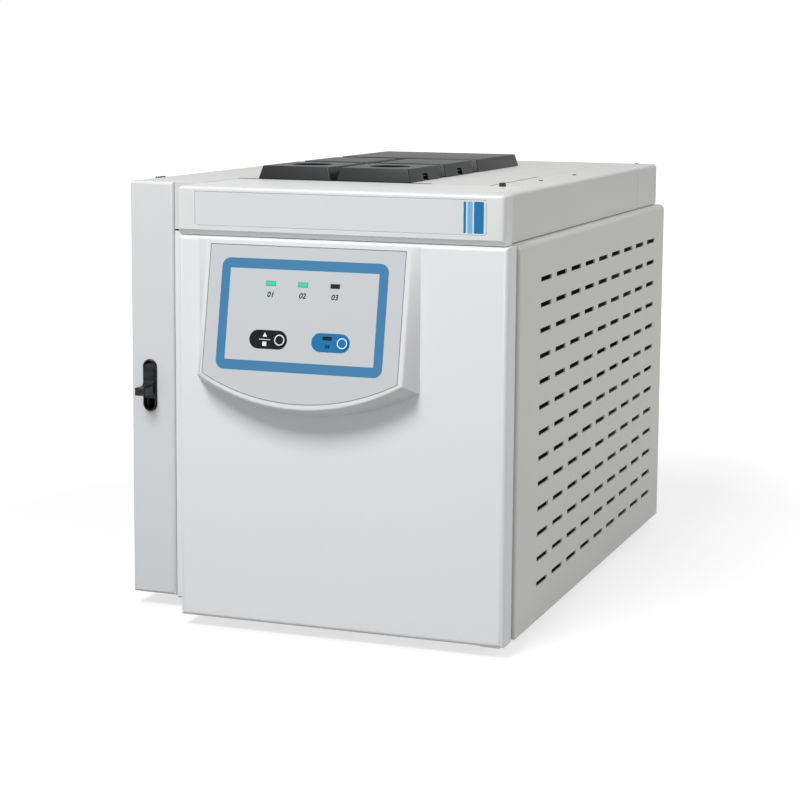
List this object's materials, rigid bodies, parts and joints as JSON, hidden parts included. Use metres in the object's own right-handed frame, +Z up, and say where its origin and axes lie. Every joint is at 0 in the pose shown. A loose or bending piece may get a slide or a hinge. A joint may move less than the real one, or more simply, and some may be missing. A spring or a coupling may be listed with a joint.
{
  "type": "gas chromatograph",
  "caption": "Bench gas chromatograph: insulated oven behind a hinged door with a control panel, dark hinged caps over injectors and detectors, slotted sides.",
  "frame": {"origin": "middle of the footprint, on the bench", "axes": "+Z up, the oven door faces -Y, +X to the right seen from the front"},
  "size_m": [0.44, 0.733, 0.4764],
  "materials": {
    "case_paint": "off-white textured powder coat",
    "bezel_plastic": "off-white fine textured moulding",
    "inner_steel": "bare stainless sheet",
    "dark_plastic": "charcoal fine texture",
    "black_plastic": "satin black",
    "rubber_black": "black rubber",
    "insulation": "glass wool",
    "seal_braid": "woven glass braid",
    "overlay": "satin overlay film",
    "lens_green": "translucent green",
    "button_black": "satin black",
    "button_blue": "satin blue",
    "machined": "turned steel",
    "brass": "machined brass",
    "aluminium": "machined",
    "board": "green circuit board",
    "silica": "amber coated silica",
    "motor_steel": "black paint"
  },
  "bodies": {
    "chassis": {"base_pan": "case_paint", "cap_hinge_pins": "machined", "capillary_column": "silica", "column_cage": "inner_steel", "column_hanger": "inner_steel", "cooling_fan_frame": "black_plastic", "detector_left": "aluminium", "detector_right": "aluminium", "door_hinges": "inner_steel", "exhaust_hood": "case_paint", "fan_baffle": "inner_steel", "fan_motor": "motor_steel", "feet": "rubber_black", "front_bezel": "bezel_plastic", "gas_fittings": "brass", "gas_manifold": "aluminium", "heater_coil": "inner_steel", "injector_left": "aluminium", "injector_right": "aluminium", "label_plate": "bezel_plastic", "latch_bracket": "inner_steel", "latch_escutcheon": "black_plastic", "left_column_cover": "case_paint", "left_side_panel": "case_paint", "main_board": "board", "oven_air_ducts": "inner_steel", "oven_front_frame": "case_paint", "oven_insulation": "insulation", "oven_liner": "inner_steel", "power_inlet": "black_plastic", "power_supply": "inner_steel", "rear_cap_left": "dark_plastic", "rear_cap_right": "dark_plastic", "rear_panel": "case_paint", "right_side_panel": "case_paint", "temperature_probe": "inner_steel", "top_access_cover": "case_paint", "top_cover": "case_paint"},
    "oven_door": {"oven_door_shell": "case_paint", "door_inner_panel": "inner_steel", "door_insulation": "insulation", "door_gasket": "seal_braid", "door_striker": "inner_steel", "control_housing": "bezel_plastic", "control_overlay": "overlay", "indicator_lenses": "lens_green"},
    "start_button": {"start_button": "button_black"},
    "service_button": {"service_button": "button_blue"},
    "latch": {"latch_lever": "black_plastic", "latch_shaft": "machined"},
    "latch_roller": {"latch_roller": "machined"},
    "cap_injector_left": {"cap_injector_left": "dark_plastic"},
    "cap_injector_right": {"cap_injector_right": "dark_plastic"},
    "cap_detector_left": {"cap_detector_left": "dark_plastic"},
    "cap_detector_right": {"cap_detector_right": "dark_plastic"},
    "oven_fan": {"oven_fan": "machined", "fan_shaft": "machined"},
    "cooling_fan": {"cooling_fan_rotor": "black_plastic"},
    "air_flaps": {"air_flaps": "inner_steel"},
    "power_rocker": {"power_rocker": "black_plastic"}
  },
  "joints": [
    {"name": "oven_door_hinge", "type": "hinge", "parent": "chassis", "child": "oven_door", "pos_m": [0.206, -0.319, 0.212], "axis": [0, 0, 1], "range_deg": [0, 110]},
    {"name": "start_button_press", "type": "slide", "parent": "oven_door", "child": "start_button", "axis": [0, 0.9833, -0.1822], "range_m": [0, 0.0008], "stiffness_N_per_m": 600, "springref_m": -0.0008},
    {"name": "service_button_press", "type": "slide", "parent": "oven_door", "child": "service_button", "axis": [0, 0.9833, -0.1822], "range_m": [0, 0.0008], "stiffness_N_per_m": 600, "springref_m": -0.0008},
    {"name": "latch_pivot", "type": "hinge", "parent": "chassis", "child": "latch", "pos_m": [-0.1975, -0.261, 0.2435], "axis": [1, 0, 0], "range_deg": [0, 15], "stiffness_Nm_per_rad": 0.5, "springref_deg": -8.59},
    {"name": "latch_roller_spin", "type": "hinge", "parent": "latch", "child": "latch_roller", "pos_m": [-0.13, -0.283, 0.2435], "axis": [1, 0, 0], "continuous": true},
    {"name": "cap_injector_left_hinge", "type": "hinge", "parent": "chassis", "child": "cap_injector_left", "pos_m": [-0.0686, -0.09, 0.4689], "axis": [1, 0, 0], "range_deg": [-90, 0]},
    {"name": "cap_injector_right_hinge", "type": "hinge", "parent": "chassis", "child": "cap_injector_right", "pos_m": [0.022, -0.09, 0.4689], "axis": [1, 0, 0], "range_deg": [-90, 0]},
    {"name": "cap_detector_left_hinge", "type": "hinge", "parent": "chassis", "child": "cap_detector_left", "pos_m": [-0.0686, 0.027, 0.4689], "axis": [1, 0, 0], "range_deg": [-90, 0]},
    {"name": "cap_detector_right_hinge", "type": "hinge", "parent": "chassis", "child": "cap_detector_right", "pos_m": [0.022, 0.027, 0.4689], "axis": [1, 0, 0], "range_deg": [-90, 0]},
    {"name": "oven_fan_spin", "type": "hinge", "parent": "chassis", "child": "oven_fan", "pos_m": [0.035, 0.012, 0.1975], "axis": [0, 1, 0], "continuous": true},
    {"name": "cooling_fan_spin", "type": "hinge", "parent": "chassis", "child": "cooling_fan", "pos_m": [-0.12, 0.3215, 0.127], "axis": [0, 1, 0], "continuous": true},
    {"name": "air_flap_pivot", "type": "hinge", "parent": "chassis", "child": "air_flaps", "pos_m": [-0.05, 0.11, 0.11], "axis": [1, 0, 0], "range_deg": [0, 80]},
    {"name": "power_rocker_pivot", "type": "hinge", "parent": "chassis", "child": "power_rocker", "pos_m": [0.155, 0.335, 0.229], "axis": [0, 0, 1], "range_deg": [0, 18]}
  ]
}
